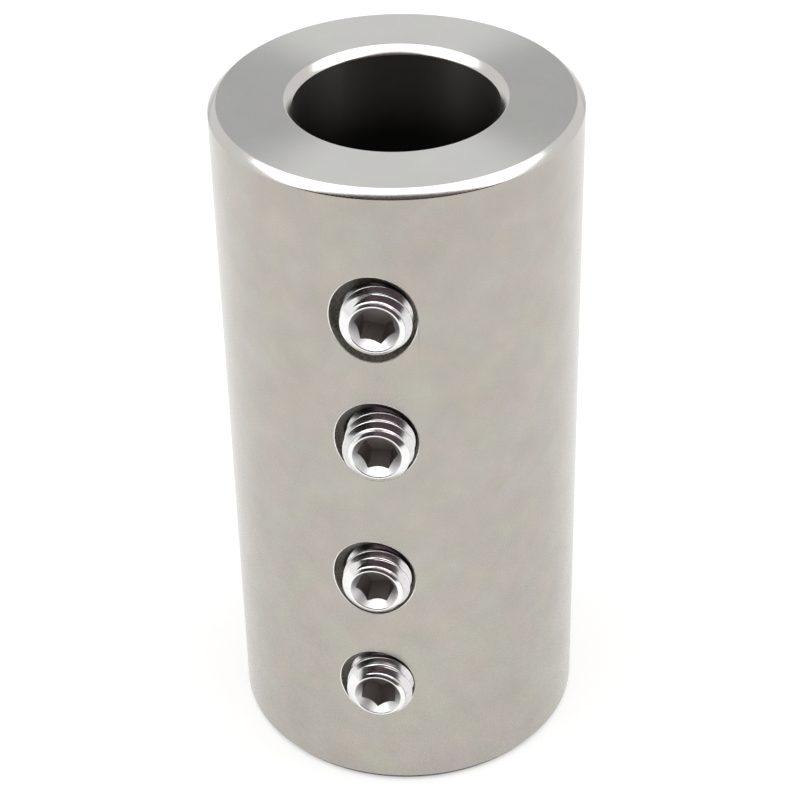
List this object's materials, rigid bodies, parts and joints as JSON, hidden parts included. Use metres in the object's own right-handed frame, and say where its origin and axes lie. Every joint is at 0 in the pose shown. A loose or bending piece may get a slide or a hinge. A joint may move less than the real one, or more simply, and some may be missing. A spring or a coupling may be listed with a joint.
{
  "type": "rigid shaft coupling",
  "caption": "Thick steel sleeve that joins two shafts end to end in one plain bore, held by a row of socket set screws.",
  "frame": {"origin": "on the axis of the bore, half way along the sleeve, where the ends of the two shafts meet", "axes": "+Z along the bore, towards the upper end as it stands; -Y towards the row of set screws"},
  "size_m": [0.0333, 0.0354, 0.0672],
  "materials": {
    "sleeve_steel": "fine satin stainless steel",
    "screw_steel": "polished stainless steel"
  },
  "bodies": {
    "root": {"sleeve": "sleeve_steel", "upper_outer_screw": "screw_steel", "upper_inner_screw": "screw_steel", "lower_inner_screw": "screw_steel", "lower_outer_screw": "screw_steel"}
  },
  "joints": []
}
